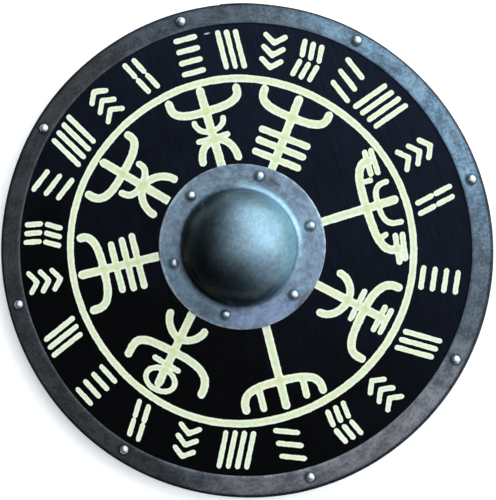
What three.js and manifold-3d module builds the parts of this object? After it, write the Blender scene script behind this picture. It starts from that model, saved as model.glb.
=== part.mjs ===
// A round wooden shield, lying on its back. A flat wooden board carries a folded steel rim, a
// domed steel boss over its hand hole, and a wooden grip across the back of that hole. Round-head
// rivets hold the rim and the boss, and two of the boss's rivets also hold the grip.
//
// Millimetres. +Z points out of the shield's front, +X runs along the grip, and the origin is
// below the middle of the rim, on the surface that the grip's back lies on.
import * as THREE from "three";
import { mergeVertices } from "three/addons/utils/BufferGeometryUtils.js";
import Module from "manifold-3d";

const wasm = await Module();
wasm.setup();

// Driving sizes

const shieldDiameter = 610;
const fit = 0.25; // gap between pieces that wrap or pass through each other

const boardThickness = 10;
const handHoleDiameter = 116;

const rimSheet = 1.5;
const rimFrontWidth = 25;
const rimBackWidth = 19;
const rimCornerRadius = 4;
const rimRivetInset = 13.5; // from the shield's outer edge to the rivets' centres
const rimRivetOffset = new THREE.Vector2(1.9, 1.4); // the rivets were marked out a little off the middle
const lapEndAngle = 79.6; // degrees from +X, where the outer end of the rim strip stops
const lapLength = 24;
const lapRampLength = 14;

const bossSheet = 2;
const flangeDiameter = 205;
const domeDiameter = 142;
const domeHeight = 64; // above the flange's front
const neckRadius = 5; // the concave fillet between flange and dome
const neckHeight = 14; // fillet and upright wall, from the flange's front to where the dome rounds over
const bossRivetCircle = 176; // diameter
const bossOffset = new THREE.Vector2(2.3, 8.5); // the boss was fitted by hand, a little off the middle
const domeOffset = new THREE.Vector2(-2, -0.7); // the dome was raised a little off the flange's middle

const gripLength = 222;
const gripWidth = 38;
const gripDepth = 20; // at the hand
const gripEndDepth = 8; // where the rivets pass through
const gripHandLength = 96; // the full depth, and the flat that the shield lies on
const gripTaperLength = 22; // from the full depth to the thin ends, on each side
const gripTipWidth = 24;
const gripEdgeRadius = 5;

const rivetShank = 5; // diameter
const rivetHead = 11; // diameter
const rivetHeadHeight = 4.25;
const rivetTail = 9; // diameter
const rivetTailHeight = 2;

// The rivets were drilled by eye, so each list says how many degrees a rivet strays from even spacing.
const rimRivetStray = [2.1, 1, -0.3, -1.8, -1.9, -1.6, 1, 2.7];
const bossRivetStray = [0.7, 0.2, 0.5, -0.5, 0.7, 1.1];

// How finely round shapes are faceted

const ringSides = 72;
const flangeSides = 48;
const domeSides = 36;
const holeSides = 12;
const rivetSides = 10;
const rampSteps = 4; // sections along the lap's ramp
const taperSteps = 6; // sections along each of the grip's tapers
const leastStep = 0.01; // degrees, below which two of the rim's sections are one

// Levels and radii that follow from the sizes above

const boardBack = gripDepth;
const boardFront = boardBack + boardThickness;
const rimBack = boardBack - fit - rimSheet;
const rimFront = boardFront + fit + rimSheet;
const flangeFront = boardFront + bossSheet;
const shieldRadius = shieldDiameter / 2;
const boardRadius = shieldRadius - rimSheet - fit;
const holeRadius = rivetShank / 2 + fit;
// A drill's height, centred on Z = 0, that passes through every piece.
const throughAll = 4 * (gripDepth + boardThickness + domeHeight);

const steel = new THREE.MeshStandardMaterial({ color: 0x7d8a96, roughness: 0.42, metalness: 1 });
const darkSteel = new THREE.MeshStandardMaterial({ color: 0x565f68, roughness: 0.5, metalness: 1 });
const brightSteel = new THREE.MeshStandardMaterial({ color: 0xc8d0d6, roughness: 0.3, metalness: 1 });
const blackWood = new THREE.MeshStandardMaterial({ color: 0x0d1016, roughness: 0.55, metalness: 0 });
const oiledWood = new THREE.MeshStandardMaterial({ color: 0x6b4526, roughness: 0.6, metalness: 0 });

// Helpers

const radians = THREE.MathUtils.degToRad;

// Points of an elliptical arc in a profile's plane, both ends included.
function arc(centreX, centreY, radiusX, radiusY, fromDegrees, toDegrees, steps) {
  const points = [];
  for (let i = 0; i <= steps; i++) {
    const angle = radians(THREE.MathUtils.lerp(fromDegrees, toDegrees, i / steps));
    points.push(new THREE.Vector2(centreX + radiusX * Math.cos(angle), centreY + radiusY * Math.sin(angle)));
  }
  return points;
}

// Turns a profile of (radius, height) points round the Z axis.
function turned(profile, sides) {
  return new THREE.LatheGeometry(profile, sides).rotateX(Math.PI / 2);
}

function solidOf(geometry) {
  const bare = geometry.clone();
  bare.deleteAttribute("normal");
  bare.deleteAttribute("uv");
  const merged = mergeVertices(bare, 1e-4);
  return new wasm.Manifold(
    new wasm.Mesh({
      numProp: 3,
      vertProperties: merged.attributes.position.array,
      triVerts: new Uint32Array(merged.index.array),
    }),
  );
}

function geometryOf(solid) {
  const mesh = solid.getMesh();
  const geometry = new THREE.BufferGeometry();
  geometry.setAttribute("position", new THREE.BufferAttribute(mesh.vertProperties, 3));
  geometry.setIndex(new THREE.BufferAttribute(mesh.triVerts, 1));
  geometry.computeVertexNormals();
  return geometry;
}

// Drills an upright round hole of one radius at each place, right through the shape.
function drilled(geometry, places, radius, sides) {
  let solid = solidOf(geometry);
  for (const place of places) {
    const drill = new THREE.CylinderGeometry(radius, radius, throughAll, sides);
    drill.rotateX(Math.PI / 2);
    drill.translate(place.x, place.y, 0);
    solid = solid.subtract(solidOf(drill));
  }
  return geometryOf(solid);
}

// Joins a row of matching sections into one closed solid. The outline is the section as drawn in
// its own plane, which the two end faces are cut from.
function swept(sections, outline) {
  const around = outline.length;
  const corners = [];
  for (let i = 0; i + 1 < sections.length; i++) {
    for (let j = 0; j < around; j++) {
      const next = (j + 1) % around;
      const [a, b, c, d] = [i * around + j, i * around + next, (i + 1) * around + next, (i + 1) * around + j];
      corners.push(a, b, c, a, c, d);
    }
  }
  const last = (sections.length - 1) * around;
  const clockwise = THREE.ShapeUtils.isClockWise(outline);
  for (const face of THREE.ShapeUtils.triangulateShape(outline, [])) {
    const [a, b, c] = clockwise ? face.reverse() : face;
    corners.push(a, c, b, last + a, last + b, last + c);
  }
  const strip = new THREE.BufferGeometry().setFromPoints(sections.flat());
  strip.setIndex(corners);
  return strip;
}

function named(name, geometry, material) {
  const mesh = new THREE.Mesh(geometry, material);
  mesh.name = name;
  return mesh;
}

// Evenly spaced places on a circle, each moved round it by its own stray angle.
function placesOnCircle(radius, strays, centre) {
  return strays.map((stray, i) => {
    const angle = radians((360 * i) / strays.length + stray);
    return new THREE.Vector2(Math.cos(angle), Math.sin(angle)).multiplyScalar(radius).add(centre);
  });
}

const rimRivetPlaces = placesOnCircle(shieldRadius - rimRivetInset, rimRivetStray, rimRivetOffset);
const bossRivetPlaces = placesOnCircle(bossRivetCircle / 2, bossRivetStray, bossOffset);
const throughGrip = bossRivetPlaces.map((place) => Math.abs(place.y - bossOffset.y) < gripTipWidth / 2);

// Board: a disc with an edge rounded to lie in the rim's fold, the hand hole and the rivets' holes

function board() {
  const edge = rimCornerRadius - rimSheet - fit;
  const profile = [
    new THREE.Vector2(0, boardBack),
    ...arc(boardRadius - edge, boardBack + edge, edge, edge, -90, 0, 2),
    ...arc(boardRadius - edge, boardFront - edge, edge, edge, 0, 90, 2),
    new THREE.Vector2(0, boardFront),
  ];
  const disc = turned(profile, ringSides);
  const withHandHole = drilled(disc, [bossOffset], handHoleDiameter / 2, domeSides);
  return drilled(withHandHole, [...rimRivetPlaces, ...bossRivetPlaces], holeRadius, holeSides);
}

// Rim: one strip folded over the board's edge. Its section is a U on its side, and its outer end
// rides up over its own start as a lap joint.

// The section as (radius, height) points, clockwise. rise moves it outwards on all three sides.
function rimSection(rise) {
  const outerRadius = shieldRadius + rise;
  const front = rimFront + rise;
  const back = rimBack - rise;
  const corner = rimCornerRadius;
  const inner = rimCornerRadius - rimSheet;
  return [
    new THREE.Vector2(shieldRadius - rimFrontWidth, front),
    ...arc(outerRadius - corner, front - corner, corner, corner, 90, 0, 2),
    ...arc(outerRadius - corner, back + corner, corner, corner, 0, -90, 2),
    new THREE.Vector2(shieldRadius - rimBackWidth, back),
    new THREE.Vector2(shieldRadius - rimBackWidth, back + rimSheet),
    ...arc(outerRadius - corner, back + corner, inner, inner, -90, 0, 2),
    ...arc(outerRadius - corner, front - corner, inner, inner, 0, 90, 2),
    new THREE.Vector2(shieldRadius - rimFrontWidth, front - rimSheet),
  ];
}

function rim() {
  const lap = THREE.MathUtils.radToDeg(lapLength / shieldRadius);
  const ramp = THREE.MathUtils.radToDeg(lapRampLength / shieldRadius);
  const start = lapEndAngle - lap;
  const end = lapEndAngle + 360;
  const rampStep = ramp / rampSteps;
  const rampEnd = start + 360 - rampStep / 2; // the strip is fully raised just before it meets its own start
  const step = 360 / ringSides;
  const angles = [start, lapEndAngle, start + 360, end];
  for (let i = 0; i <= rampSteps; i++) angles.push(rampEnd - rampStep * i);
  for (let angle = Math.ceil(start / step) * step; angle < end; angle += step) angles.push(angle);
  angles.sort((a, b) => a - b);
  const sorted = angles.filter((angle, i) => i === 0 || angle - angles[i - 1] > leastStep);

  const sections = sorted.map((angle) => {
    const along = THREE.MathUtils.smoothstep(angle, rampEnd - ramp, rampEnd);
    return rimSection(along * (rimSheet + fit)).map((point) => {
      const turn = radians(angle);
      return new THREE.Vector3(point.x * Math.cos(turn), point.x * Math.sin(turn), point.y);
    });
  });

  const strip = swept(sections, rimSection(0));
  return drilled(strip, rimRivetPlaces, holeRadius, holeSides);
}

// Boss: a flat flange, a concave neck, a short upright wall and a dome, all of one sheet, open behind

function boss() {
  const domeRadius = domeDiameter / 2;
  const flangeRadius = flangeDiameter / 2;
  const blankRadius = (flangeRadius + domeOffset.length()) / Math.cos(Math.PI / domeSides) + bossSheet;
  const filletTop = flangeFront + neckRadius;
  const springing = flangeFront + neckHeight;
  const crown = domeHeight - neckHeight;
  const filletCentre = domeRadius + neckRadius;
  const insideFillet = neckRadius + bossSheet;
  const profile = [
    new THREE.Vector2(blankRadius, boardFront),
    new THREE.Vector2(blankRadius, flangeFront),
    ...arc(filletCentre, filletTop, neckRadius, neckRadius, 270, 180, 3),
    ...arc(0, springing, domeRadius, crown, 0, 90, 9),
    ...arc(0, springing, domeRadius - bossSheet, crown - bossSheet, 90, 0, 7),
    ...arc(filletCentre, filletTop, insideFillet, insideFillet, 180, 270, 3),
  ];
  const shell = turned([...profile, profile[0]], domeSides);
  const middle = bossOffset.clone().add(domeOffset);
  shell.translate(middle.x, middle.y, 0);

  const disc = new THREE.CylinderGeometry(flangeRadius, flangeRadius, throughAll, flangeSides);
  disc.rotateX(Math.PI / 2).translate(bossOffset.x, bossOffset.y, 0);
  const trimmed = geometryOf(solidOf(shell).intersect(solidOf(disc)));
  return drilled(trimmed, bossRivetPlaces, holeRadius, holeSides);
}

// Grip: a bar, deep and flat-backed at the hand, thin at the ends that the rivets pass through

// Its full width at a distance x from its middle.
function gripWidthAt(x) {
  const taper = THREE.MathUtils.smoothstep(Math.abs(x), gripHandLength / 2, gripLength / 2);
  return THREE.MathUtils.lerp(gripWidth, gripTipWidth, taper);
}

// Its depth at a distance x from its middle.
function gripDepthAt(x) {
  const hand = gripHandLength / 2;
  const taper = THREE.MathUtils.smoothstep(Math.abs(x), hand, hand + gripTaperLength);
  return THREE.MathUtils.lerp(gripDepth, gripEndDepth, taper);
}

// The section's outline as (y, z) points: flat in front, where it meets the board, and rounded behind.
function gripSection(x) {
  const half = gripWidthAt(x) / 2;
  const back = gripDepth - gripDepthAt(x);
  const edge = Math.min(gripEdgeRadius, gripDepthAt(x) / 2);
  return [
    new THREE.Vector2(half, gripDepth),
    new THREE.Vector2(-half, gripDepth),
    ...arc(edge - half, back + edge, edge, edge, 180, 270, 3),
    ...arc(half - edge, back + edge, edge, edge, 270, 360, 3),
  ];
}

function grip() {
  const hand = gripHandLength / 2;
  const tip = gripLength / 2;
  const side = [hand];
  for (let i = 1; i <= taperSteps; i++) side.push(hand + (gripTaperLength * i) / taperSteps);
  side.push(tip);
  const stations = [...side.map((x) => -x).reverse(), ...side];
  const sections = stations.map((x) =>
    gripSection(x).map((point) => new THREE.Vector3(x + bossOffset.x, point.x + bossOffset.y, point.y)),
  );
  const bar = swept(sections, gripSection(tip));
  const holes = bossRivetPlaces.filter((_, i) => throughGrip[i]);
  return drilled(bar, holes, holeRadius, holeSides);
}

// Rivets: a domed head in front, a shank, and a tail hammered to a low button behind

function rivet(front, back) {
  const length = front - back;
  const profile = [
    ...arc(0, 0, rivetTail / 2, rivetTailHeight, -90, 0, 2),
    new THREE.Vector2(rivetShank / 2, 0),
    new THREE.Vector2(rivetShank / 2, length),
    ...arc(0, length, rivetHead / 2, rivetHeadHeight, 0, 90, 3),
  ];
  return turned(profile, rivetSides);
}

function rivetAt(name, place, front, back) {
  const mesh = named(name, rivet(front, back), brightSteel);
  mesh.position.set(place.x, place.y, back);
  return mesh;
}

const shield = new THREE.Group();
shield.add(named("board", board(), blackWood));
shield.add(named("rim", rim(), darkSteel));
shield.add(named("boss", boss(), steel));
shield.add(named("grip", grip(), oiledWood));
rimRivetPlaces.forEach((place, i) => {
  shield.add(rivetAt(`rim_rivet_${i + 1}`, place, rimFront, rimBack));
});
bossRivetPlaces.forEach((place, i) => {
  const back = throughGrip[i] ? boardBack - gripEndDepth : boardBack;
  shield.add(rivetAt(`boss_rivet_${i + 1}`, place, flangeFront, back));
});

export default shield;
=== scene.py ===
# %% [markdown]
# # A painted round shield in steel and wood
#
# The real thing is a flat disc of wood, painted black. Cream figures are brushed on it by hand, a steel strip
# is folded over its edge, and a domed steel boss covers the hole that the fist sits in. This lesson dresses
# the measured model of it in Blender. Every new piece is a surface worked out with numpy, because a formula
# keeps the sizes true, and every finish is made of shader nodes, because those look right from any side.

import bmesh
import bpy
import numpy as np
from mathutils import Matrix, Vector


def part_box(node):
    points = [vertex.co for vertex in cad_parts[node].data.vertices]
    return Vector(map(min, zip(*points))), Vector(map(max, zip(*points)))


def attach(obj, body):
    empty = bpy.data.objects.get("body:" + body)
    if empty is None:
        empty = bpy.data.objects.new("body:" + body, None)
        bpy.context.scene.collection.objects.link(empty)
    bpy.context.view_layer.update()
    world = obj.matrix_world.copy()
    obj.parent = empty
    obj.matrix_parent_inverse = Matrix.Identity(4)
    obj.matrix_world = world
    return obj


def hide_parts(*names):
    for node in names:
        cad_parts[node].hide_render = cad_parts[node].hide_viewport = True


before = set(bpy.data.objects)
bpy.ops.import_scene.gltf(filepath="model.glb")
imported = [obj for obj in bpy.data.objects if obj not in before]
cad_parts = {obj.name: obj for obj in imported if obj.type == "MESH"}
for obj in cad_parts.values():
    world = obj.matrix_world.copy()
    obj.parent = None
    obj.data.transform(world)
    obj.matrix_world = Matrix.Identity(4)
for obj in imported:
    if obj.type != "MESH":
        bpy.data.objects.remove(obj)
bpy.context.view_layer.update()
mm = 0.001

# %% [markdown]
# ## Where the pieces are
#
# The measured model is the only ruler. Each size that a surface needs is read from the box of its node, so a
# change of the model carries through to the looks.

# %% Read the sizes
board_low, board_high = np.array(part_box("board"))
rim_low, rim_high = np.array(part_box("rim"))
boss_low, boss_high = np.array(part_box("boss"))
grip_low, grip_high = np.array(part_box("grip"))

shield_radius = (rim_high[0] - rim_low[0]) / 2
board_front = board_high[2]
board_back = board_low[2]
boss_middle = (boss_low[:2] + boss_high[:2]) / 2
flange_radius = (boss_high[0] - boss_low[0]) / 2
print("shield radius", round(shield_radius / mm, 1), "mm, boss middle", (boss_middle / mm).round(1), "mm")

# %% [markdown]
# ## The camera
#
# The shield can't stand unheld, so it lies on its back, and the camera looks down on it. The photographer
# stood about two metres away, a little to the right of the shield and a little above its middle. The shield
# is also turned in the picture, which tips the camera's upright against the shield's own axes.

# %% Place the camera
camera_distance = 2.0
off_axis = 7.19  # degrees between the shield's axis and the line of sight
off_axis_towards = 27.7  # degrees in the picture, anticlockwise from the right
turn_in_picture = np.radians(15.6)  # of the shield's +X, anticlockwise from the right
aim = np.array([7.45 * mm, 0.9 * mm, board_front])
focal_length = 116.9  # for a picture 36 mm high

picture_right = np.array([np.cos(turn_in_picture), -np.sin(turn_in_picture), 0])
picture_up = np.array([np.sin(turn_in_picture), np.cos(turn_in_picture), 0])


def towards(off, around):
    """Unit vector that leans off the shield's axis by degrees, towards an angle in the picture."""
    off, around = np.radians([off, around])
    across = np.cos(around) * picture_right + np.sin(around) * picture_up
    return np.cos(off) * np.array([0, 0, 1.0]) + np.sin(off) * across


def looking(position, target, up):
    """World matrix of a camera or lamp that looks from a position at a target, its top near up."""
    back = Vector(position - target).normalized()
    right = Vector(up).cross(back).normalized()
    rotation = Matrix((right, back.cross(right), back)).transposed()
    return Matrix.Translation(Vector(position)) @ rotation.to_4x4()


sight = towards(off_axis, off_axis_towards)
camera_data = bpy.data.cameras.new("camera")
camera_data.sensor_fit = "VERTICAL"
camera_data.sensor_height = 36
camera_data.lens = focal_length
camera = bpy.data.objects.new("camera", camera_data)
camera.matrix_world = looking(aim + camera_distance * sight, aim, picture_up)
bpy.context.collection.objects.link(camera)
bpy.context.scene.camera = camera
print("camera at", np.round(camera.matrix_world.translation, 3))

# %% [markdown]
# ## Floor and light
#
# A pale floor, one large soft lamp high on the right and one wide dim lamp overhead. A metal dome shows
# what it faces, so its dark left side needs a dark room there: the world that lights the shield is dim on
# that side and brighter towards the lamp. The backdrop that is seen behind the floor stays pale, as paper
# in a studio is.

# %% Floor, lamps and world
bpy.context.scene.view_settings.view_transform = "Standard"


def lamp(name, off, around, distance, size, radiance, colour):
    """Square area lamp aimed at the shield. Its power in watts is radiance times pi times its area."""
    data = bpy.data.lights.new(name, "AREA")
    data.shape = "SQUARE"
    data.size = size
    data.energy = radiance * np.pi * size**2
    data.color = colour
    lamp_object = bpy.data.objects.new(name, data)
    lamp_object.matrix_world = looking(aim + distance * towards(off, around), aim, picture_up)
    bpy.context.collection.objects.link(lamp_object)


lamp("key_lamp", 46, 44, 2.7, 4.2, 2.05, (0.93, 0.98, 1.0))
lamp("overhead_lamp", 14, 200, 3.2, 1.5, 1.35, (0.95, 0.98, 1.0))

world = bpy.data.worlds.new("dim_room")
world.use_nodes = True
sky = world.node_tree
direction = sky.nodes.new("ShaderNodeTexCoord")
facing = sky.nodes.new("ShaderNodeVectorMath")
facing.operation = "DOT_PRODUCT"
facing.inputs[1].default_value = towards(80, 22)
brightness = sky.nodes.new("ShaderNodeMapRange")
brightness.interpolation_type = "SMOOTHSTEP"
for end, value in {"From Min": -0.1, "From Max": 0.9, "To Min": 0.02, "To Max": 1.6}.items():
    brightness.inputs[end].default_value = value
seen_directly = sky.nodes.new("ShaderNodeLightPath").outputs["Is Camera Ray"]
backdrop = sky.nodes.new("ShaderNodeMix")  # of numbers: sockets 2 and 3 are the two that it mixes
backdrop.inputs[3].default_value = 0.9
sky.links.new(seen_directly, backdrop.inputs[0])
sky.links.new(direction.outputs["Generated"], facing.inputs[0])
sky.links.new(facing.outputs["Value"], brightness.inputs["Value"])
sky.links.new(brightness.outputs["Result"], backdrop.inputs[2])
sky.links.new(backdrop.outputs[0], sky.nodes["Background"].inputs["Strength"])
sky.nodes["Background"].inputs["Color"].default_value = (0.9, 0.95, 1.0, 1.0)
bpy.context.scene.world = world

floor_size = 1.5
floor_data = bpy.data.meshes.new("floor")
corners = np.array([[-1, -1, 0], [1, -1, 0], [1, 1, 0], [-1, 1, 0]]) * floor_size / 2
floor_data.from_pydata(corners.tolist(), [], [[0, 1, 2, 3]])
floor = bpy.data.objects.new("floor", floor_data)
bpy.context.collection.objects.link(floor)
print("floor of", floor_size, "m")

# %% [markdown]
# ## Surfaces from grids
#
# Every piece below is a grid of points: one direction runs along a profile, the other round the shield or
# along the piece. One helper turns such a grid into a mesh, and closes it where a direction comes back to its
# start or where a row shrinks to a point on the axis.

# %% Grid to mesh
merge_distance = 1e-6


def surface(name, points, loop_rows=False):
    """Object through a grid of points (rows, columns, 3), each row a loop, and each column if told.

    Doubled points are merged, open ends are filled and faces are turned outwards. It is shaded smooth, save
    for the edges of the filled ends, which are sharp as a sawn end is.
    """
    rows, columns = points.shape[:2]
    index = np.arange(rows * columns).reshape(rows, columns)
    if loop_rows:
        index = np.vstack([index, index[:1]])
    index = np.hstack([index, index[:, :1]])
    quads = np.stack([index[:-1, :-1], index[1:, :-1], index[1:, 1:], index[:-1, 1:]], -1).reshape(-1, 4)
    mesh = bpy.data.meshes.new(name)
    mesh.from_pydata(points.reshape(-1, 3).tolist(), [], quads.tolist())
    work = bmesh.new()
    work.from_mesh(mesh)
    bmesh.ops.remove_doubles(work, verts=work.verts, dist=merge_distance)
    bmesh.ops.dissolve_degenerate(work, edges=work.edges, dist=merge_distance)
    open_edges = [edge for edge in work.edges if edge.is_boundary]
    if open_edges:
        bmesh.ops.holes_fill(work, edges=open_edges, sides=0)
        for edge in open_edges:
            edge.smooth = False
    bmesh.ops.recalc_face_normals(work, faces=work.faces)
    work.to_mesh(mesh)
    work.free()
    mesh.shade_smooth()
    piece = bpy.data.objects.new(name, mesh)
    bpy.context.collection.objects.link(piece)
    triangles = sum(len(face.vertices) - 2 for face in mesh.polygons)
    print(name, triangles, "triangles")
    return piece


def arc(centre, radii, start, stop, steps):
    """Points (radius, height) of an elliptical arc between two angles in degrees, both ends included."""
    angle = np.radians(np.linspace(start, stop, steps))
    return np.stack([centre[0] + radii[0] * np.cos(angle), centre[1] + radii[1] * np.sin(angle)], -1)


def straight(start, stop, steps):
    """Points (radius, height) evenly along a line, both ends included."""
    return np.linspace(start, stop, steps)


def smooth_step(value):
    """Rises from 0 to 1 with level ends."""
    value = np.clip(value, 0, 1)
    return value * value * (3 - 2 * value)


def round_axis(middle, radius, angle, height):
    """Points at radii and angles round an upright axis, at heights that spread over the same grid."""
    x = middle[0] + radius * np.cos(angle)
    y = middle[1] + radius * np.sin(angle)
    return np.stack([x, y, np.broadcast_to(height, x.shape)], -1)


def ripple(angle, amplitudes, phase):
    """Smooth closed unevenness round a circle: a sum of cosines of rising order with given amplitudes."""
    orders = np.arange(2, 2 + len(amplitudes))
    waves = np.cos(angle[..., None] * orders + phase * orders**1.7)
    return (waves * np.array(amplitudes)).sum(-1)


def wave(angle, pairs):
    """Closed drift of a hand-drawn circle: a cosine and a sine of each order, with amplitudes, summed."""
    orders = np.arange(1, 1 + len(pairs))
    cosines, sines = np.array(pairs).T
    turns = angle[..., None] * orders
    return (cosines * np.cos(turns) + sines * np.sin(turns)).sum(-1)


# %% [markdown]
# ## Node helpers
#
# A finish is a small graph of shader nodes. These helpers add a node with its settings and inputs in one
# call, so that each material below reads as a list of steps. A plain value goes on the socket itself, and a
# link only where something varies over the surface.

# %% Node helpers
def srgb(red, green, blue):
    """Colour for a socket from 8-bit display values, by the display's own curve."""
    value = np.array([red, green, blue]) / 255
    linear = np.where(value <= 0.04045, value / 12.92, ((value + 0.055) / 1.055) ** 2.4)
    return (*linear.tolist(), 1.0)


class Finish:
    """A new material whose nodes are added one call at a time."""

    def __init__(self, name):
        self.material = bpy.data.materials.new(name)
        self.material.use_nodes = True
        self.tree = self.material.node_tree
        self.shader = self.tree.nodes["Principled BSDF"]
        self.place = self.node("TexCoord").outputs["Object"]

    def node(self, kind, inputs=None, **settings):
        """Adds a node of a kind, sets its settings, then links or sets each named or numbered input."""
        node = self.tree.nodes.new("ShaderNode" + kind)
        for key, value in settings.items():
            setattr(node, key, value)
        for key, value in (inputs or {}).items():
            self.put(node.inputs[key], value)
        return node

    def put(self, socket, value):
        """Links an output to a socket, or writes a plain value on it."""
        if isinstance(value, bpy.types.NodeSocket):
            self.tree.links.new(value, socket)
        else:
            socket.default_value = value

    def sum(self, operation, first, second=0.0, third=0.0):
        """One step of arithmetic on numbers."""
        return self.node("Math", {0: first, 1: second, 2: third}, operation=operation).outputs[0]

    def vector(self, operation, first, second=(0, 0, 0), give=0):
        """One step of arithmetic on vectors, which gives a vector (0) or a number (1)."""
        return self.node("VectorMath", {0: first, 1: second}, operation=operation).outputs[give]

    def line(self, value, factor, offset):
        """A value times a factor, plus an offset."""
        return self.sum("MULTIPLY_ADD", value, factor, offset)

    def times(self, value, *factors):
        """Product of numbers, such as masks that all have to hold."""
        for factor in factors:
            value = self.sum("MULTIPLY", value, factor)
        return value

    def stretched(self, scale, turn=0.0, middle=(0, 0, 0)):
        """The place on the piece, seen from a middle, with scaled axes, turned about the shield's axis."""
        inputs = {"Vector": self.place, "Location": middle, "Scale": scale, "Rotation": (0, 0, turn)}
        return self.node("Mapping", inputs, vector_type="TEXTURE").outputs[0]

    def noise(self, size, vector=None, detail=4.0, roughness=0.55, distortion=0.0):
        """Cloudy noise from 0 to 1, with blotches of about a size in metres, or in the vector's units."""
        inputs = {"Vector": vector or self.place, "Scale": 1 / size, "Detail": detail}
        inputs.update({"Roughness": roughness, "Distortion": distortion})
        return self.node("TexNoise", inputs).outputs["Fac"]

    def between(self, value, low, high):
        """Maps a value from low..high to 0..1, held at the ends."""
        inputs = {"Value": value, "From Min": low, "From Max": high}
        return self.node("MapRange", inputs, interpolation_type="SMOOTHSTEP").outputs[0]

    def spread(self, value, low, high, to_low, to_high):
        """Maps a value from low..high to another span, held at the ends."""
        inputs = {"Value": value, "From Min": low, "From Max": high, "To Min": to_low, "To Max": to_high}
        return self.node("MapRange", inputs).outputs[0]

    def blend(self, amount, first, second):
        """Mixes two colours. The numbered sockets are those that a mix node has for colours."""
        return self.node("Mix", {0: amount, 6: first, 7: second}, data_type="RGBA").outputs[2]

    def mix(self, amount, first, second):
        """Mixes two numbers. The numbered sockets are those that a mix node has for numbers."""
        return self.node("Mix", {0: amount, 2: first, 3: second}, data_type="FLOAT").outputs[0]

    def axis(self, letter):
        """One coordinate of the place on the piece."""
        return self.node("SeparateXYZ", {0: self.place}).outputs[letter]

    def out_towards(self, direction):
        """Distance from the origin towards a direction in degrees, in the board's plane."""
        turn = np.radians(direction)
        return self.vector("DOT_PRODUCT", self.place, (np.cos(turn), np.sin(turn), 0), give=1)

    def from_axis(self, middle=(0.0, 0.0)):
        """Distance in the board's plane from an upright axis."""
        flat = self.vector("MULTIPLY", self.place, (1, 1, 0))
        return self.vector("DISTANCE", flat, (*middle, 0), give=1)

    def drawn_round(self, fine, long):
        """Place in which noise runs in streaks round the shield: quick along the radius, else slow."""
        slow = self.vector("MULTIPLY", self.place, (1 / long, 1 / long, 0))
        radius = self.times(self.from_axis(), 1 / fine)
        return self.vector("ADD", slow, self.node("CombineXYZ", {0: radius}).outputs[0])

    def spot(self, middle, half_length, half_width, turn, ragged=0.5):
        """Mask of an oval at a place in mm, turned by an angle in degrees, its border broken by noise."""
        size = (half_length * mm, half_width * mm, 1e3)
        oval = self.stretched(size, np.radians(turn), (middle[0] * mm, middle[1] * mm, 0))
        reach = self.vector("LENGTH", oval, give=1)
        uneven = self.noise(half_width * mm, detail=5, roughness=0.65)
        broken = self.line(uneven, 2 * ragged, reach)
        return self.between(broken, 1.1 + ragged, 0.5 + ragged)

    def attribute(self, name):
        """A number stored on the piece's points."""
        return self.node("Attribute", attribute_name=name).outputs["Fac"]

    def bump(self, height, depth, strength=1.0):
        """Surface normal of a height from 0 to 1 that stands for a depth in metres."""
        inputs = {"Height": height, "Distance": depth, "Strength": strength}
        return self.node("Bump", inputs).outputs[0]

    def shade(self, **sockets):
        """Sets or links the shader's own sockets, underscores standing for spaces."""
        for key, value in sockets.items():
            self.put(self.shader.inputs[key.replace("_", " ")], value)
        return self.material


white = (1, 1, 1, 1)
pale = Finish("pale_floor")
pale.shade(Base_Color=srgb(244, 245, 246), Roughness=0.9, Emission_Color=white, Emission_Strength=0.35)
floor.data.materials.append(pale.material)
print("floor finish ready")

# %% [markdown]
# ## The board
#
# A flat disc with a round hand hole. Its rings start as the hole's circle, which is a little off the middle,
# and open out to the disc's own edge. They lie close together where paint will be, because the paint's
# outline is stored on the points, and wide apart under the boss, under the rim and on the back.

# %% Board surface
hand_hole_radius = 58 * mm
rim_clearance = 1 * mm  # the rim's fold wanders
board_radius = (board_high[0] - board_low[0]) / 2 - rim_clearance
edge_fall = 2 * mm  # by which each face slopes to the edge, under the rim
rim_width = 25 * mm
board_columns = 660
painted_rings = 118
plain_rings = 5  # on each side of the painted ones
back_rings = 9


def opened_ring(share, height):
    """Circles that grow from the hand hole at share 0 to the board's edge at share 1, at given heights."""
    angle = np.linspace(0, 2 * np.pi, board_columns, endpoint=False)
    radius = hand_hole_radius + (board_radius - hand_hole_radius) * share
    centre = boss_middle * (1 - share[:, None])
    return round_axis(centre.T[..., None], radius[:, None], angle, height[:, None])


def share_at(radius):
    """The ring's share for a radius."""
    return (radius - hand_hole_radius) / (board_radius - hand_hole_radius)


painted_from = share_at(flange_radius - 6 * mm)
painted_to = share_at(shield_radius - rim_width + 2 * mm)
edge_round = 2 * mm
front_shares = np.concatenate([
    np.linspace(0, painted_from, plain_rings)[:-1],
    np.linspace(painted_from, painted_to, painted_rings)[:-1],
    np.linspace(painted_to, share_at(board_radius - edge_round), plain_rings),
])
front_heights = board_front - edge_fall * np.clip((front_shares - painted_to) / (1 - painted_to), 0, 1)
edge_shares = np.full(3, 1.0)
edge_middle = (board_front + board_back) / 2
edge_reach = (board_front - board_back) / 2 - edge_fall - edge_round
edge_heights = edge_middle + edge_reach * np.array([1, 0, -1])
outer_shares = front_shares[-plain_rings:]
back_shares = np.concatenate([outer_shares[::-1], np.linspace(painted_to, 0, back_rings)[1:]])
back_heights = board_back + edge_fall * np.clip((back_shares - painted_to) / (1 - painted_to), 0, 1)
board_points = opened_ring(
    np.concatenate([front_shares, edge_shares, back_shares]),
    np.concatenate([front_heights, edge_heights, back_heights]),
)
board_piece = surface("painted_board", board_points, loop_rows=True)

# %% [markdown]
# ## What is painted on the board
#
# A ring, an eight-armed stave inside it and a ring of stroke groups outside it. The painter used round
# brushes, so every line is a path with a half width and round ends. Each arm is described along its own
# stem: how far out a stroke sits from the boss's middle, and how far it reaches to each side, in millimetres.

# %% Brush strokes
strokes = []


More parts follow.
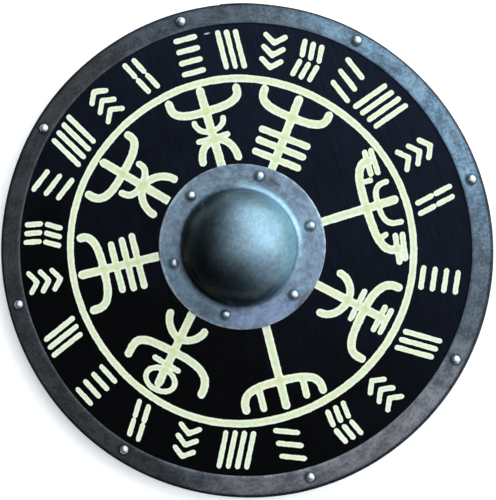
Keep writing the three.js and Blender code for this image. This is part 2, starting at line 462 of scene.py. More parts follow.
def brush(points, width, cut=None):
    """Adds a stroke along points (x, y) in mm. No paint lies before the cut, a point and a direction."""
    strokes.append((np.asarray(points, float), width / 2, cut))


def bow(middle, left, right, squareness):
    """Local points of a bow that crosses the stem at middle and ends at two tips, each (out, across).

    Each half is a quarter of a superellipse: out runs from middle to the tip's own distance while across runs
    from the stem to the tip. A high squareness keeps the bow straight before it turns to its tips, and may be
    one number or a pair for left and right.
    """
    turn = np.linspace(0, np.pi / 2, 15)
    halves = []
    for (out, across), square in zip((left, right), np.broadcast_to(squareness, 2)):
        along = out + (middle - out) * np.cos(turn) ** (2 / square)
        aside = across * np.sin(turn) ** (2 / square)
        halves.append(np.stack([along, aside], -1))
    return np.concatenate([halves[0][::-1], halves[1][1:]])


def bar(out, left, right):
    """Local points of a straight stroke across the stem, from its left reach to its right reach."""
    return np.array([[out, left], [out, -right]])


def prong(across, start, stop):
    """Local points of a short stroke beside the stem, parallel to it."""
    return np.array([[start, across], [stop, across]])


def loop(out, long_way, wide_way):
    """Local points of a closed ellipse on the stem, from its half length along and half width across."""
    angle = np.linspace(0, 2 * np.pi, 33)
    return np.stack([out + long_way * np.cos(angle), wide_way * np.sin(angle)], -1)


stem_brush, bow_brush, fork_brush, bar_brush, fine_brush = 10.5, 10.0, 9.4, 8.4, 6.8
under_flange = flange_radius / mm - 8


def arm(direction, aside, stem, parts, start=under_flange):
    """Paints one arm: a stem that leaves the boss in a direction in degrees, and the parts across it.

    aside is how far the stem's line passes the boss's middle, and start how far out its paint begins.
    """
    turn = np.radians(direction)
    out = np.array([np.cos(turn), np.sin(turn)])
    across = np.array([-out[1], out[0]])
    foot = boss_middle / mm + aside * across

    def placed(local):
        return foot + np.outer(local[:, 0], out) + np.outer(local[:, 1], across)

    brush(placed(np.array([[under_flange, 0], [stem, 0]])), stem_brush, cut=(foot + start * out, out))
    for width, local in parts:
        brush(placed(np.asarray(local, float)), width)


arm(90.5, -2.4, 196, [
    (bow_brush, bow(170, (191, 42), (188, -44), 3)),
    (fine_brush, bow(145, (160, 18), (157, -18), 2)),
    (fine_brush, bar(136.5, 19, 18)),
    (fork_brush, bow(134, (111, 21), (106, -23), 2)),
])
arm(53.0, 0.2, 191, [
    (bow_brush, bow(168, (188, 44), (186.5, -41.3), 3)),
    (bar_brush, bar(142, 29, 30)),
    (bar_brush, bar(128, 28, 30)),
    (bar_brush, bar(113.5, 27, 29)),
])
arm(1.7, -1.5, 194.5, [
    (bow_brush, bow(159.3, (179.5, 54.8), (182.6, -58.5), 3)),
    (fine_brush, [[177.3, 65.7], [176.5, 38.5]]),
    (fine_brush, [[184.8, 65.5], [185.3, 37.8]]),
    (fine_brush, [[163.0, 31.9], [173.6, 31.1]]),
    (fine_brush, [[182.8, -42.0], [178.4, -74.4]]),
    (fine_brush, [[191.6, -43.6], [186.6, -72.0]]),
    (fine_brush, [[162.0, -40.6], [172.5, -37.5]]),
    (fine_brush, bow(174.1, (192.0, 24.0), (194.7, -27.7), 3)),
])
arm(-42.4, -1.1, 195, [
    (bow_brush, bow(169.5, (194.0, 42.3), (194.0, -56.0), (2.5, 3.2))),
    (fork_brush, bow(146.5, (123.1, 25.3), (122.9, -29.0), 2)),
    (fine_brush, bar(159.5, 19.0, 18.5)),
    (fine_brush, bar(190.5, 13.0, 17.8)),
    (fine_brush, bar(199.2, 12.7, 17.0)),
])
arm(-91.1, 3.2, 205, [
    (bow_brush, bow(174, (197, 49), (200, -50), 3)),
    (bar_brush, prong(28, 177, 199)),
    (bar_brush, prong(-28, 175, 203)),
])
arm(-131.6, -18.7, 201, [
    (bow_brush, bow(157.5, (189.7, 54.4), (184.7, -50.0), (2.8, 4))),
    (fork_brush, bow(140, (118.4, 23.5), (115.4, -24.9), 1.7)),
    (fine_brush, [[176.5, 15.0], [174.3, -18.1]]),
    (fine_brush, loop(196.2, 13.9, 19.2)),
])
arm(178.5, -11.6, 204, [
    (bow_brush, bow(176, (201, 46), (195, -45), 3)),
    (bar_brush, bar(159.5, 30, 28)),
    (bar_brush, bar(145, 31, 30)),
    (bar_brush, bar(131.5, 31, 32)),
], start=104.5)
arm(134.3, -0.8, 200, [
    (bow_brush, bow(173, (197, 44), (191, -45), 3)),
    (bar_brush, bow(146, (162, 21), (161, -21), 2.5)),
    (fork_brush, bow(143, (115, 24), (114, -27), 1.8)),
], start=106)
print(len(strokes), "strokes in the stave")

# %% [markdown]
# ## The outer ring of stroke groups
#
# Round the outside runs a plain ornament: groups of brush strokes, all of one height and one brush, at listed
# angles. Three simple rules draw them all, in eight kinds of group that take turns round the ring.

# %% Stroke groups
ring_middle = np.array([-3.2, 2.6])
ring_radius = 212.2
ring_width = 8.8
ring_drift = [(0.2, -1.25), (-0.06, -0.17), (0.83, -0.2), (0.06, -0.97), (0.08, 0.39), (0.07, 0.17)]
ring_swell = [(0.1, -0.3), (-0.35, 0.0), (-0.2, 0.1)]
group_radius = 247.5
group_height = 42
group_brush = 6.4
group_angles = [
    76.8, 64.8, 53.9, 42.0, 30.2, 13.5, -0.7, -23.4, -42.7, -59.7, -74.7, -90.9,
    -106.5, -121.2, -136.3, -152.4, -169.4, 173.5, 159.4, 145.3, 131.2, 117.1, 103.9, 88.8,
]


def hatch(count, gap, lean, low=-0.5, high=0.5):
    """Paths of parallel strokes side by side, a gap apart, each leaning sideways over the group's height.

    low and high say which share of the height the strokes run over, measured from the group's middle.
    """
    offsets = (np.arange(count) - (count - 1) / 2) * gap
    ends = np.array([low, high])
    return [np.stack([ends * group_height, offset + ends * lean], -1) for offset in offsets]


def chevrons(count, reach, rise, pitch):
    """Paths of V shapes stacked outwards at a pitch, each reaching sideways and rising towards its tips."""
    levels = (np.arange(count) - (count - 1) / 2) * pitch - rise / 2
    return [np.array([[level + rise, -reach], [level, 0], [level + rise, reach]]) for level in levels]


def rungs(count, reach, lean):
    """Paths of short strokes across the group, stacked over its height, each rising from side to side."""
    levels = (np.arange(count) / (count - 1) - 0.5) * (group_height - abs(lean))
    return [np.array([[level - lean / 2, -reach], [level + lean / 2, reach]]) for level in levels]


groups = [
    hatch(3, 11, 9),
    chevrons(3, 12, 9, 15),
    hatch(3, 11, -7, -0.5, -0.1) + hatch(3, 11, 7, 0.1, 0.5),
    rungs(3, 13, 9),
    hatch(4, 11.5, -8),
    chevrons(3, 12, -9, 15),
    hatch(2, 13, 10, -0.5, -0.08) + hatch(2, 13, 10, 0.08, 0.5),
    rungs(4, 12, 0),
]
for number, group_angle in enumerate(group_angles):
    turn = np.radians(group_angle)
    outwards = np.array([np.cos(turn), np.sin(turn)])
    sideways = np.array([-outwards[1], outwards[0]])
    for path in groups[number % len(groups)]:
        local = ring_middle + (group_radius + path[:, :1]) * outwards + path[:, 1:] * sideways
        brush(local, group_brush)
print(len(group_angles), "stroke groups,", len(strokes), "strokes in all")

# %% [markdown]
# ## From strokes to paint
#
# Each point of the board stores how far it lies from the nearest edge of paint, in millimetres, negative
# inside. The shader only has to ask where that number is below zero. Distances change evenly between points,
# so the edge stays smooth and sharp even though the points are wider apart than a hair of the brush. A second
# number counts the coats, because paint is thicker and yellower where strokes cross.


# %% Distance to the paint
soft_coat = 2.5  # mm over which a coat of paint thins to its edge
far = 20  # mm, beyond which it doesn't matter how far the paint is
near_enough = 12  # mm past a stroke's edge, as far as its own distance is worked out


def distance_to_path(points, path):
    """Distance of every point to a path: the least of those to the nearest foot on each straight stretch."""
    nearest = np.full(len(points), np.inf)
    for start, stop in zip(path[:-1], path[1:]):
        run = stop - start
        share = np.clip((points - start) @ run / max(run @ run, 1e-9), 0, 1)
        gap = points - start - share[:, None] * run
        nearest = np.minimum(nearest, np.hypot(gap[:, 0], gap[:, 1]))
    return nearest


def painted(points):
    """Signed distance in mm to the nearest edge of paint, negative inside, and the number of coats."""
    across, up = (points - ring_middle).T
    angle = np.arctan2(up, across)
    middle_line = ring_radius + wave(angle, ring_drift)
    distance = np.abs(np.hypot(across, up) - middle_line) - (ring_width + wave(angle, ring_swell)) / 2
    coats = np.clip(-distance / soft_coat, 0, 1)
    for path, half_width, cut in strokes:
        margin = half_width + near_enough
        low, high = path.min(0) - margin, path.max(0) + margin
        near = ((points > low) & (points < high)).all(1)
        reach = distance_to_path(points[near], path) - half_width
        if cut is not None:
            reach = np.maximum(reach, (cut[0] - points[near]) @ cut[1])
        distance[near] = np.minimum(distance[near], reach)
        coats[near] += np.clip(-reach / soft_coat, 0, 1)
    return distance, coats


def points_of(piece):
    """All points of a piece as an array (count, 3) in metres."""
    flat = np.empty(len(piece.data.vertices) * 3, np.float32)
    piece.data.vertices.foreach_get("co", flat)
    return flat.reshape(-1, 3).astype(float)


def store(piece, name, values):
    """Stores one number a point on the piece, for its material to read."""
    attribute = piece.data.attributes.new(name, "FLOAT", "POINT")
    attribute.data.foreach_set("value", np.asarray(values, np.float32))


board_xyz = points_of(board_piece)
from_paint, coats = painted(board_xyz[:, :2] / mm)
from_paint = np.where(board_xyz[:, 2] > edge_middle, from_paint, far)
store(board_piece, "from_paint", np.clip(from_paint, -far, far))
store(board_piece, "coats", coats)
print("painted share of the points", round(float((from_paint < 0).mean()), 3))

# %% [markdown]
# ## Black and cream paint
#
# The black is thin enough for the wood's grain to show as faint lines when light grazes it. The cream paint
# is fullest in the middle of a stroke and where strokes cross, and thins to a colder white at its edges. Fine
# noise moves the edge by a fraction of a millimetre, as bristles do.

# %% Board finish
paint = Finish("painted_board")
bristle = paint.noise(3.5 * mm, detail=3)
slow = paint.noise(16 * mm, detail=2)
edge_wander = paint.sum("ADD", paint.line(bristle, 1.3, -0.65), paint.line(slow, 1.4, -0.7))
edge = paint.sum("ADD", paint.attribute("from_paint"), edge_wander)
is_cream = paint.between(edge, 0.25, -0.25)

grain_place = paint.stretched((1.0, 22.0, 1.0), np.radians(3))
grain = paint.noise(1.6 * mm, grain_place, detail=5, roughness=0.65)
cloud = paint.noise(45 * mm, detail=4)
grained = paint.between(grain, 0.3, 0.8)
# Painted light: the black is mixed from a shaded copy and a lit copy, lighter and bluer towards the lamp.
shaded_black = paint.blend(grained, srgb(1, 1, 2), srgb(4, 5, 8))
lit_black = paint.blend(grained, srgb(13, 18, 29), srgb(22, 30, 46))
lit_side = paint.out_towards(45)  # painted light: the black is painted lighter and bluer towards the lamp's side
painted_light_share = paint.line(cloud, 0.25, lit_side)
black = paint.blend(paint.spread(painted_light_share, 0.0, 0.38, 0.0, 1.0), shaded_black, lit_black)

depth = paint.line(cloud, 2.0, paint.attribute("from_paint"))
fullness = paint.between(depth, 0.8, -2.8)
mottle = paint.noise(5 * mm, detail=5, roughness=0.7)
tint = paint.between(paint.noise(30 * mm, detail=3), 0.38, 0.64)
patchy = paint.between(mottle, 0.35, 0.66)
thin_cream = paint.blend(patchy, srgb(233, 238, 219), srgb(219, 228, 205))
warm_cream = paint.blend(patchy, srgb(218, 222, 182), srgb(203, 209, 168))
cool_cream = paint.blend(patchy, srgb(211, 223, 189), srgb(195, 210, 174))
crossing = paint.blend(patchy, srgb(206, 215, 160), srgb(190, 203, 144))
cream = paint.blend(fullness, thin_cream, paint.blend(tint, warm_cream, cool_cream))
crossed = paint.between(paint.attribute("coats"), 1.1, 2.1)
cream = paint.blend(paint.times(crossed, 0.85), cream, crossing)
front_colour = paint.blend(is_cream, black, cream)
chip = paint.spot((30, 270.2), 4.2, 1.0, -5, ragged=0.3)
front_colour = paint.blend(chip, front_colour, srgb(196, 200, 204))

is_front = paint.between(paint.axis("Z"), board_back + 1 * mm, board_back + 3 * mm)
year_place = paint.stretched((1.0, 30.0, 1.0))
years = paint.noise(5 * mm, year_place, detail=6, roughness=0.6, distortion=0.6)
back_colour = paint.blend(paint.between(years, 0.3, 0.75), srgb(42, 32, 24), srgb(84, 63, 46))
colour = paint.blend(is_front, back_colour, front_colour)

sheen = paint.spread(grain, 0.3, 0.7, 0.62, 0.46)
relief = paint.line(grain, 0.4, paint.times(mottle, is_cream))
paint.shade(
    Base_Color=colour,
    Roughness=sheen,
    Specular_IOR_Level=0.035,
    Normal=paint.bump(relief, 0.15 * mm, 0.6),
)
board_piece.data.materials.append(paint.material)
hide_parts("board")
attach(board_piece, "root")
print("board finished")

# %% [markdown]
# ## The rim
#
# One steel strip, folded over the board's edge by hand. Its section is a U on its side, its face falls a
# little towards the outside, and its outer end rides up over its own start. A folded strip is never quite
# even, so its edges wander by a millimetre or two.

# %% Rim surface
rim_sheet = 1.5 * mm
rim_back_width = 19 * mm
rim_corner = 4 * mm
rim_gap = 0.25 * mm
rim_outer_shift = 0.7  # mm, as are the drifts
rim_inner_shift = -0.4
rim_outer_drift = [(0.1, -0.9), (0.04, -0.2), (0.14, 0.0)]
rim_inner_drift = [(0.36, 1.25), (0.55, 0.3), (0.22, 0.1), (-0.25, -0.16)]
lap_end = np.radians(79.6)
lap_length = 24 * mm
lap_ramp = 45 * mm
lap_rise = 0.7 * mm  # the strip's end was filed thin and hammered down over its start
rim_top = board_front + rim_gap + rim_sheet
rim_bottom = board_back - rim_gap - rim_sheet


def rim_profile():
    """Closed outline (radius, height) of the folded strip on the board, outside first, then inside."""
    inner_edge = shield_radius - rim_width
    fall = edge_fall * 0.9
    corner_in = rim_corner - rim_sheet
    outer_axis = shield_radius - rim_corner
    top_axis = rim_top - fall - rim_corner
    bottom_axis = rim_bottom + fall + rim_corner
    lip = 0.6 * mm
    back_edge = shield_radius - rim_back_width
    return np.concatenate([
        arc((inner_edge + lip, rim_top - lip), (lip, lip), 180, 95, 4),
        straight((inner_edge + 2 * lip, rim_top), (outer_axis, rim_top - fall), 9)[1:-1],
        arc((outer_axis, top_axis), (rim_corner, rim_corner), 90, 0, 7),
        arc((outer_axis, bottom_axis), (rim_corner, rim_corner), 0, -90, 7),
        straight((outer_axis, rim_bottom + fall), (back_edge, rim_bottom), 5)[1:],
        straight((back_edge, rim_bottom + rim_sheet), (outer_axis, rim_bottom + fall + rim_sheet), 4),
        arc((outer_axis, bottom_axis), (corner_in, corner_in), -90, 0, 4)[1:],
        arc((outer_axis, top_axis), (corner_in, corner_in), 0, 90, 4),
        straight((outer_axis, rim_top - fall - rim_sheet), (inner_edge, rim_top - rim_sheet), 4)[1:],
    ])


def rim_strip(columns):
    """Sweeps the profile round the shield. The last stretch is raised over the start by a smooth step."""
    lap = lap_length / shield_radius
    ramp = lap_ramp / shield_radius
    angle = np.linspace(lap_end - lap, lap_end + 2 * np.pi, columns)
    raised = smooth_step((angle - (lap_end - lap + 2 * np.pi - ramp)) / ramp) * lap_rise
    profile = rim_profile()
    outside = np.clip((profile[:, 0] - (shield_radius - rim_width)) / rim_width, 0, 1)
    above = np.sign(profile[:, 1] - edge_middle)
    uneven = ripple(angle, [0.12, 0.1, 0.1, 0.08, 0.08, 0.08, 0.1, 0.06, 0.05], 1.3)
    wander = (rim_outer_shift + wave(angle, rim_outer_drift) + uneven) * mm
    inner_wander = (rim_inner_shift + wave(angle, rim_inner_drift) + 1.5 * uneven) * mm
    radius = profile[:, 0] + (raised + wander)[:, None] * outside + inner_wander[:, None] * (1 - outside)
    height = profile[:, 1] + raised[:, None] * above
    return round_axis((0, 0), radius, angle[:, None], height)


rim_points = rim_strip(1100)
rim_piece = surface("folded_rim", rim_points)

# %% [markdown]
# ## The boss
#
# One sheet of steel: a flat flange, a concave neck, a short upright wall and a dome, open behind. The dome
# was raised a little off the flange's middle, so the flange's edge is a circle about another centre: its
# radius seen from the dome's axis changes round the boss.

# %% Boss surface
boss_sheet = 2 * mm
dome_radius = 69 * mm
neck_radius = 8 * mm
neck_height = 14 * mm
dome_offset = np.array([-2.0, -0.7]) * mm
flange_spread = 0.5  # mm, as is its drift
flange_drift = [(-1.24, -1.56), (0.42, -0.12), (0.37, 0.19), (0.16, 0.03)]
dome_middle = boss_middle + dome_offset
flange_front = board_front + boss_sheet
dome_top = boss_high[2]


def boss_profile():
    """Outline (radius, height) from the flange's lower edge over the dome, then back along the inside."""
    fillet_axis = (dome_radius + neck_radius, flange_front + neck_radius)
    springing = flange_front + neck_height
    crown = dome_top - springing
    inside = neck_radius + boss_sheet
    lip = 0.5 * mm
    outer = flange_radius
    return np.concatenate([
        straight((outer, board_front), (outer, flange_front - lip), 2),
        arc((outer - lip, flange_front - lip), (lip, lip), 0, 90, 4)[1:],
        straight((outer - 2 * lip, flange_front), (fillet_axis[0], flange_front), 12)[1:-1],
        arc(fillet_axis, (neck_radius, neck_radius), 270, 180, 9),
        straight((dome_radius, fillet_axis[1]), (dome_radius, springing), 4)[1:-1],
        arc((0, springing), (dome_radius, crown), 0, 90, 48),
        arc((0, springing), (dome_radius - boss_sheet, crown - boss_sheet), 90, 0, 24),
        arc(fillet_axis, (inside, inside), 180, 270, 6),
    ])


def boss_sheet_points(columns):
    """Turns the profile about the dome's axis and moves the flange's edge out to its own circle."""
    angle = np.linspace(0, 2 * np.pi, columns, endpoint=False)
    profile = boss_profile()
    shift = -dome_offset
    towards_edge = shift[0] * np.cos(angle) + shift[1] * np.sin(angle)
    sideways = shift[1] * np.cos(angle) - shift[0] * np.sin(angle)
    edge_radius = towards_edge + np.sqrt(flange_radius**2 - sideways**2)
    uneven = ripple(angle, [0.1, 0.08, 0.1, 0.06], 2.2)
    edge_radius = edge_radius + (flange_spread + wave(angle, flange_drift) + uneven) * mm
    start = dome_radius + neck_radius
    share = np.clip((profile[:, 0] - start) / (flange_radius - start), 0, 1)
    radius = profile[:, 0] + (edge_radius - flange_radius)[:, None] * share
    dent = ripple(angle, [0.25, 0.2, 0.15, 0.1], 0.7)[:, None] * mm
    lifted = np.clip((profile[:, 1] - flange_front - neck_radius) / neck_height, 0, 1)
    on_dome = np.clip(profile[:, 0] / dome_radius, 0, 1) * lifted
    radius = radius + dent * on_dome
    return round_axis(dome_middle, radius, angle[:, None], profile[:, 1])


boss_piece = surface("domed_boss", boss_sheet_points(384), loop_rows=True)

# %% [markdown]
# ## Steel finishes
#
# All the steel is one idea: a metal with a bluish base colour, a roughness that changes in soft patches, and
# faint scratches and hammer marks as bump. The rim is darkened most, with scuffed patches where the dark
# layer has gone. The boss keeps more of its mill surface, and the rivets are the brightest.


# %% Steel finish
def on_dome(finish, patches=None):
    """Mask of what stands above the flange."""
    return finish.between(finish.axis("Z"), flange_front + 1 * mm, flange_front + 9 * mm)


def steel(name, patch, rough_span, tones):
    """Metal with patches of a size, a roughness span and fine streaks, round the shield or over the dome.

    tones holds (mask, dark, light): the patches run between the two display colours where the mask is 1. The
    first mask is None, and each other mask is a function of the finish and its patch noise.
    """
    finish = Finish(name)
    patches = finish.noise(patch, detail=5, roughness=0.55)
    fine = finish.noise(patch / 6, detail=5, roughness=0.65)
    round_streaks = finish.noise(1.0, finish.drawn_round(2.6 * mm, 13 * mm), detail=4, roughness=0.6)
    over_dome = finish.stretched((1.0, 8.0, 1.0), -turn_in_picture)
    dome_streaks = finish.noise(2.5 * mm, over_dome, detail=4, roughness=0.6)
    streaks = finish.mix(on_dome(finish), round_streaks, dome_streaks)
    mixed = finish.line(fine, 0.42, finish.times(patches, 0.36))
    worn = finish.between(finish.line(streaks, 0.22, mixed), 0.41, 0.59)
    colour = None
    for mask, dark, light in tones:
        tone = finish.blend(worn, srgb(*dark), srgb(*light))
        colour = finish.blend(mask(finish, patches), colour, tone) if mask else tone
    soft = finish.spread(finish.noise(patch / 2.5, detail=5), 0.3, 0.7, *rough_span)
    hammered = finish.noise(14 * mm, detail=2)
    relief = finish.bump(finish.line(streaks, 0.05, hammered), 0.45 * mm, 0.5)
    roughness = finish.line(streaks, 0.08, soft)
    finish.shade(Base_Color=colour, Metallic=1.0, Roughness=roughness, Normal=relief)
    return finish


print("steel can be mixed")

# %% [markdown]
# ## Masks for the steel
#
# Steel that has been carried about isn't of one tone, and here light and shade are painted into its colour
# too.
# Each function below gives a mask, from 0 to 1, of one part of a piece: a side, an outer band, a stain, a
# flank of the dome or the foot of each rivet. The stains are marks on the steel; the sides, the outer band,
# the flanks, the neck and the rivets' feet mostly carry painted light, painted shade and painted shadow.


# %% Masks
def one_side(direction, low, high):
    """Mask of the side that lies in a direction in degrees, from low to high metres out."""

    def mask(finish, patches):
        ragged = finish.line(patches, 0.1, finish.out_towards(direction))
        return finish.between(ragged, low + 0.05, high + 0.05)

    return mask


def beyond(low, high, middle=(0.0, 0.0), share=1.0):
    """Mask of what lies further from an upright axis than low to high metres, times a share."""

    def mask(finish, patches):
        ragged = finish.line(patches, 2 * mm, finish.from_axis(middle))
        return finish.times(finish.between(ragged, low + 1 * mm, high + 1 * mm), share)

    return mask


def stain(middle, half_length, half_width, turn, share):
    """Mask of a ragged oval stain, times a share."""
    return lambda finish, patches: finish.times(finish.spot(middle, half_length, half_width, turn), share)


def dome_shade(finish, patches):
    """Mask of the dome's dark side: what stands above the flange, the more so the further out."""
    out = finish.line(patches, 20 * mm, finish.out_towards(197))
    return finish.times(finish.spread(out, 3 * mm, 58 * mm, 0.0, 0.96), on_dome(finish))


def dome_flank(direction, low, high, top, share):
    """Mask of the dome's flank below a height on one side, from low to high metres out, times a share."""

    def mask(finish, patches=None):
        steep = finish.between(finish.axis("Z"), flange_front + top, flange_front + top - 26 * mm)
        side = finish.between(finish.out_towards(direction), low, high)
        return finish.times(steep, side, on_dome(finish), share)

    return mask


def neck_shade(finish, patches):
    """Mask of the flange close to the dome on its dark side, for a painted shadow there."""
    near = finish.between(finish.from_axis(tuple(dome_middle)), 85 * mm, 74 * mm)
    side = finish.between(finish.out_towards(212), 32 * mm, 68 * mm)
    return finish.times(near, side, 0.85)


def neck_glint(finish, patches):
    """Mask of the neck's fillet on its bright side, for a painted glint there."""
    radius = finish.from_axis(tuple(dome_middle))
    outside = finish.between(radius, 81 * mm, 76 * mm)
    inside = finish.between(radius, 68.5 * mm, 71 * mm)
    side = finish.between(finish.out_towards(34), 50 * mm, 72 * mm)
    return finish.times(outside, inside, side)


def rivet_foot_shadow(finish, patches):
    """Mask of a painted shadow at the foot of each rivet's head, set off towards the side away from the lamp.
    """
    return finish.times(finish.between(finish.attribute("from_rivet"), 9.0, 6.2), 0.75)


print("masks ready")

# %% [markdown]
# ## The rim's and the boss's tones
#
# Each list starts with the tone of the whole piece. Every later row lays another tone over it, where its
# mask says so. The rivets' places come from their nodes' boxes.

# %% Rim and boss finish
rivet_nodes = sorted(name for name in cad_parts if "rivet" in name)
rivet_places = np.array([np.mean(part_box(node), axis=0)[:2] for node in rivet_nodes])
rivet_shadow_shift = 1.2 * mm * np.array([-0.94, -0.33])  # painted shadow: the darkening at each rivet's foot lies towards the side away from the lamp
for piece in (rim_piece, boss_piece):
    apart = points_of(piece)[:, None, :2] - (rivet_places + rivet_shadow_shift)
    store(piece, "from_rivet", np.hypot(apart[..., 0], apart[..., 1]).min(1) / mm)

rim_stains = [((52, 286), 20, 5, -8, 0.4), ((235, 172), 26, 6, -52, 0.35), ((287, 66), 22, 5, -76, 0.4)]
rim_finish = steel("darkened_rim", 20 * mm, (0.36, 0.48), [
    (None, (62, 63, 66), (84, 87, 92)),
    # Painted light: the rim is painted lighter and bluer on its right half, with a bluish painted highlight
    # at the upper right; it is also lighter towards the lower right.
    (one_side(-10, -0.17, -0.04), (64, 72, 80), (92, 102, 113)),
    (one_side(24, 0.2, 0.29), (70, 90, 107), (109, 134, 152)),
    (one_side(-80, 0.2, 0.28), (107, 109, 115), (146, 148, 155)),
    # Painted shade: the outer band and the rounded outer edge of the fold are painted darker, a painted dark
    # reflection.
    (beyond(0.297, 0.3045, share=0.5), (50, 58, 66), (74, 84, 92)),
    (beyond(0.3015, 0.3035, share=0.85), (20, 22, 26), (44, 48, 54)),
    *[(stain(*oval), (44, 46, 54), (60, 64, 74)) for oval in rim_stains],
    # Painted shadow at the foot of each rivet.
    (rivet_foot_shadow, (20, 24, 30), (36, 42, 50)),
])
flange_edge_middle = (boss_middle[0], boss_middle[1] - 1.5 * mm)
boss_finish = steel("mill_boss", 34 * mm, (0.34, 0.44), [
    (None, (97, 108, 126), (122, 146, 161)),
    # Painted light: the flange is painted lighter on its right side and darker at its lower left; it is also
    # lighter and bluer towards the bottom.
    (one_side(-12, 0.03, 0.11), (111, 128, 148), (139, 164, 183)),
    (one_side(-103, 0.035, 0.08), (105, 119, 145), (131, 152, 178)),
    (one_side(-156, 0.05, 0.09), (86, 99, 115), (108, 131, 146)),
    # Painted shadow on the flange beside the dome's dark side.
    (neck_shade, (30, 34, 42), (50, 56, 66)),
    (on_dome, (95, 113, 125), (110, 134, 148)),
    # Painted highlight on the dome's upper right flank.
    (dome_flank(30, 0.015, 0.05, 90 * mm, 0.8), (107, 131, 144), (122, 152, 166)),
    # Painted shade: the dome's dark side and its lower left flank are painted near black.
    (dome_shade, (10, 10, 10), (24, 24, 26)),
    (dome_flank(190, -0.03, 0.01, 44 * mm, 0.9), (5, 6, 6), (14, 16, 17)),
    # Painted light on the dome's right flank: bright and cyan.
    (dome_flank(-4, 0.02, 0.06, 54 * mm, 0.8), (115, 160, 172), (131, 179, 191)),
    # Painted glint on the neck's fillet on its bright side.
    (neck_glint, (112, 143, 160), (134, 163, 178)),
    (beyond(0.1005, 0.1020, flange_edge_middle, 0.7), (120, 132, 142), (186, 200, 210)),
    (stain((58, 74), 15, 6, -38, 0.6), (60, 54, 54), (92, 88, 94)),
    (stain((60, -74), 17, 5, 32, 0.6), (66, 60, 58), (104, 100, 102)),
    (stain((-62, -58), 20, 9, -43, 0.6), (56, 62, 72), (84, 98, 110)),
    # Painted shadow at the foot of each rivet.
    (rivet_foot_shadow, (36, 42, 52), (58, 66, 78)),
])
highlight_flank_share = dome_flank(-4, 0.015, 0.06, 56 * mm, 0.42)(boss_finish)  # painted light: the right flank, painted bright, is made partly non-metallic so its colour shows
boss_finish.shade(Metallic=boss_finish.sum("SUBTRACT", 1.0, highlight_flank_share))
rivet_finish = steel("bright_rivet", 9 * mm, (0.36, 0.46), [
    (None, (176, 188, 198), (206, 216, 224)),
])
for piece, node, finish in ((rim_piece, "rim", rim_finish), (boss_piece, "boss", boss_finish)):
    piece.data.materials.append(finish.material)
    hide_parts(node)
    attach(piece, "root")
print("rim and boss finished")

# %% [markdown]
# ## Rivets
#
# Round-head rivets, set hot: a low dome in front, a shank through the holes, and a tail hammered to a button
# behind. Each is turned from one outline. The hammer leaves no two heads alike, so every head gets its own
# slight flat and lean.

# %% Rivets
rivet_columns = 40
head_height = 4.25 * mm
head_spread = 0.4 * mm
head_lean = 0.25 * mm
shank_radius = 2.4 * mm
tail_radius = 4.5 * mm
tail_height = 2 * mm


def rivet_points(low, high, seed):
    """Turned rivet in its node's box: half ellipse tail, straight shank, half ellipse head, made uneven."""
    middle = (low[:2] + high[:2]) / 2
    head_radius = (high[0] - low[0]) / 2 + head_spread
    front = high[2] - head_height
    seat = low[2] + tail_height
    profile = np.concatenate([
        arc((0, seat), (tail_radius, tail_height), -90, 0, 8),
        straight((shank_radius, seat), (shank_radius, front), 3),
        arc((0, front), (head_radius, head_height), 0, 90, 14),
    ])
    angle = np.linspace(0, 2 * np.pi, rivet_columns, endpoint=False)
    unevenness = 1 + ripple(angle, [0.012, 0.01, 0.008], seed)
    radius = np.minimum(profile[:, :1] * unevenness, head_radius)
    level = np.clip((profile[:, 1] - front) / head_height, 0, 1)[:, None]
    lean = head_lean * np.cos(angle - seed) * radius / head_radius
    height = np.minimum(profile[:, 1:] + level * lean, high[2])
    return round_axis(middle, radius, angle, height)


rivet_count = 0
for node in rivet_nodes:
    low, high = np.array(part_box(node))
    piece = surface(f"{node}_head", rivet_points(low, high, 1.7 * rivet_count))
    piece.data.materials.append(rivet_finish.material)
    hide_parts(node)
    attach(piece, "root")
    rivet_count += 1
print(rivet_count, "rivets")

# %% [markdown]
# ## The grip
#
# A bar of ash or oak across the back of the hand hole. It is deep where the hand closes round it, flat behind
# there so the shield lies steady, and thins out to ends that the two outer boss rivets pass through.

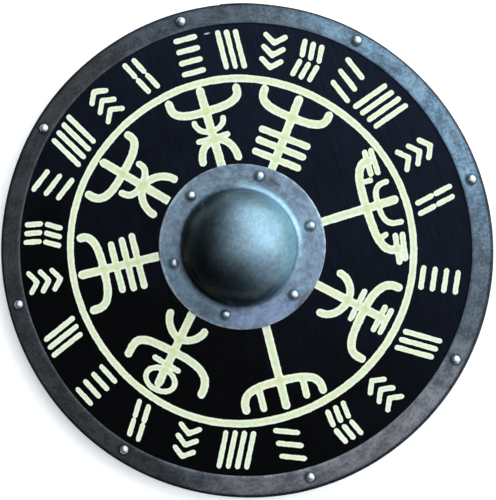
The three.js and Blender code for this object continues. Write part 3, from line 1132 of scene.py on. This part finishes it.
# %% Grip surface
grip_middle = (grip_low[:2] + grip_high[:2]) / 2
grip_half_length = (grip_high[0] - grip_low[0]) / 2
grip_half_width = (grip_high[1] - grip_low[1]) / 2
hand_half = 48 * mm
grip_taper = 22 * mm
grip_end_depth = 8 * mm
grip_tip_half = 12 * mm


def grip_points(rows, columns):
    """Bar along X whose sections are superellipses, with a smooth step in size away from its middle."""
    along = np.linspace(-1, 1, rows)
    x = grip_half_length * np.sin(along * np.pi / 2)
    reach = np.abs(x)
    half = grip_half_width + (grip_tip_half - grip_half_width) * smooth_step(
        (reach - hand_half) / (grip_half_length - hand_half)
    )
    depth = board_back + (grip_end_depth - board_back) * smooth_step((reach - hand_half) / grip_taper)
    around = np.linspace(0, 2 * np.pi, columns, endpoint=False)
    squareness = 0.42
    across = np.sign(np.cos(around)) * np.abs(np.cos(around)) ** squareness
    deep = np.sign(np.sin(around)) * np.abs(np.sin(around)) ** squareness
    y = grip_middle[1] + half[:, None] * across
    z = board_back - depth[:, None] / 2 + depth[:, None] / 2 * deep
    return np.stack([np.broadcast_to((grip_middle[0] + x)[:, None], y.shape), y, z], -1)


grip_piece = surface("wooden_grip", grip_points(120, 64))

oiled = Finish("oiled_wood")
fibre = oiled.noise(1.2 * mm, oiled.stretched((26.0, 1.0, 1.0)), detail=6, roughness=0.6)
year = oiled.noise(6 * mm, oiled.stretched((14.0, 1.0, 1.0)), detail=3, distortion=0.8)
held = oiled.noise(40 * mm, detail=3)
wood = oiled.blend(oiled.between(year, 0.35, 0.65), srgb(92, 62, 38), srgb(134, 94, 58))
wood = oiled.blend(oiled.between(fibre, 0.45, 0.75), wood, srgb(64, 42, 27))
wood = oiled.blend(oiled.between(held, 0.45, 0.7), wood, srgb(70, 47, 31))
oiled.shade(
    Base_Color=wood,
    Roughness=oiled.spread(fibre, 0.3, 0.7, 0.6, 0.45),
    Normal=oiled.bump(fibre, 0.2 * mm, 0.5),
)
grip_piece.data.materials.append(oiled.material)
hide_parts("grip")
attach(grip_piece, "root")
print("grip finished")
